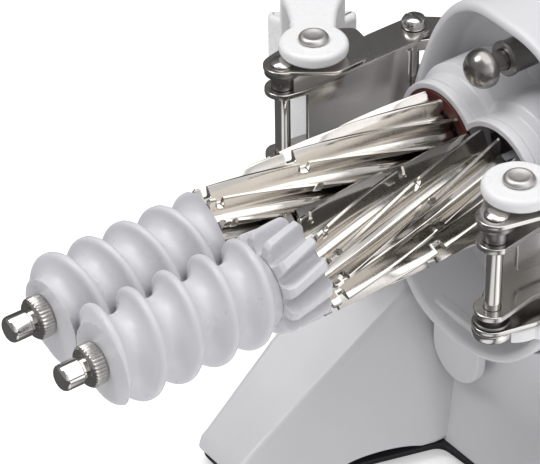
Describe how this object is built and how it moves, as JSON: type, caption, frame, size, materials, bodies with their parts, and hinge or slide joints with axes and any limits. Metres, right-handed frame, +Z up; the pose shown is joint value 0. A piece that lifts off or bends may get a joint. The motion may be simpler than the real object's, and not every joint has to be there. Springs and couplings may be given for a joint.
{
  "type": "twin gear juicer",
  "caption": "Horizontal juicer drive unit with exposed helical press gears, plastic feed screws, oval front cup and over-centre side latches.",
  "frame": {"origin": "bottom centre of the model's box, on the surface that it stands on", "axes": "+Z up, -Y forward along the press gears, +X to the right seen from behind the gears' tips"},
  "size_m": [0.2926, 0.446, 0.2867],
  "materials": {
    "body_white": "satin moulded, cool white",
    "screw_white": "smooth, slightly translucent white",
    "lever_white": "smooth semi-gloss",
    "gear_steel": "bright turned and milled",
    "latch_steel": "polished sheet",
    "pin_steel": "polished, turned",
    "seal_red": "smooth silicone",
    "foot_rubber": "matte",
    "dark_plastic": "matte",
    "motor_metal": "machined and painted"
  },
  "bodies": {
    "housing": {"base_shell": "body_white", "base_plate": "dark_plastic", "foot_front_left": "foot_rubber", "foot_front_right": "foot_rubber", "foot_rear_left": "foot_rubber", "foot_rear_right": "foot_rubber", "front_cup": "body_white", "barrel_shell": "body_white", "rear_cover": "body_white", "carry_handle": "body_white", "gear_seal": "seal_red", "locking_stud": "pin_steel", "stud_collar": "pin_steel", "power_inlet": "dark_plastic", "switch_bezel": "dark_plastic", "gearbox_case": "motor_metal", "gearbox_cover": "motor_metal", "idler_shaft": "gear_steel", "motor_stator": "motor_metal", "left_bearing": "gear_steel", "right_bearing": "gear_steel", "left_latch_bracket": "latch_steel", "left_hinge_pin": "pin_steel", "right_latch_bracket": "latch_steel", "right_hinge_pin": "pin_steel"},
    "left_gear": {"left_tip_pin": "pin_steel", "left_bushing": "gear_steel", "left_screw": "screw_white", "left_press_gear": "gear_steel", "left_output_shaft": "gear_steel", "left_drive_gear": "gear_steel"},
    "right_gear": {"right_tip_pin": "pin_steel", "right_bushing": "gear_steel", "right_screw": "screw_white", "white_mesh_gear": "screw_white", "right_press_gear": "gear_steel", "right_output_shaft": "gear_steel", "right_drive_gear": "gear_steel"},
    "idler": {"idler_gear": "gear_steel"},
    "rotor": {"motor_rotor": "motor_metal", "cooling_fan": "dark_plastic"},
    "left_arm": {"left_latch_arm": "latch_steel", "left_pivot_pin": "pin_steel", "left_upper_spacer": "latch_steel", "left_lower_spacer": "latch_steel"},
    "left_handle": {"left_upper_link_plate": "latch_steel", "left_lower_link_plate": "latch_steel", "left_lever": "lever_white", "left_lever_rivet": "pin_steel"},
    "right_arm": {"right_latch_arm": "latch_steel", "right_pivot_pin": "pin_steel", "right_upper_spacer": "latch_steel", "right_lower_spacer": "latch_steel"},
    "right_handle": {"right_upper_link_plate": "latch_steel", "right_lower_link_plate": "latch_steel", "right_lever": "lever_white", "right_lever_rivet": "pin_steel"},
    "rocker": {"switch_rocker": "dark_plastic"}
  },
  "joints": [
    {"name": "left_gear_spin", "type": "hinge", "parent": "housing", "child": "left_gear", "pos_m": [-0.0202, 0, 0.178], "axis": [0, 1, 0], "continuous": true},
    {"name": "right_gear_spin", "type": "hinge", "parent": "housing", "child": "right_gear", "pos_m": [0.0202, 0, 0.178], "axis": [0, 1, 0], "continuous": true},
    {"name": "idler_spin", "type": "hinge", "parent": "housing", "child": "idler", "pos_m": [0.0074, 0.09, 0.1505], "axis": [0, 1, 0], "continuous": true},
    {"name": "rotor_spin", "type": "hinge", "parent": "housing", "child": "rotor", "pos_m": [0, 0.15, 0.1153], "axis": [0, 1, 0], "continuous": true},
    {"name": "left_arm_swing", "type": "hinge", "parent": "housing", "child": "left_arm", "pos_m": [-0.08, 0.048, 0.178], "axis": [0, 0, -1], "range_deg": [0, 60]},
    {"name": "right_arm_swing", "type": "hinge", "parent": "housing", "child": "right_arm", "pos_m": [0.08, 0.048, 0.178], "axis": [0, 0, 1], "range_deg": [0, 60]},
    {"name": "left_lever_swing", "type": "hinge", "parent": "left_arm", "child": "left_handle", "pos_m": [-0.0762, -0.0348, 0.178], "axis": [0, 0, 1], "range_deg": [-8, 95]},
    {"name": "right_lever_swing", "type": "hinge", "parent": "right_arm", "child": "right_handle", "pos_m": [0.0762, -0.0348, 0.178], "axis": [0, 0, -1], "range_deg": [-8, 95]},
    {"name": "switch_tilt", "type": "hinge", "parent": "housing", "child": "rocker", "pos_m": [0.066, 0.107, 0.059], "axis": [0, 0, 1], "range_deg": [0, 9]}
  ],
  "couplings": [
    {"joint": "right_gear_spin", "follows": "left_gear_spin", "ratio": -1},
    {"joint": "idler_spin", "follows": "left_gear_spin", "ratio": 2},
    {"joint": "rotor_spin", "follows": "left_gear_spin", "ratio": -6}
  ]
}
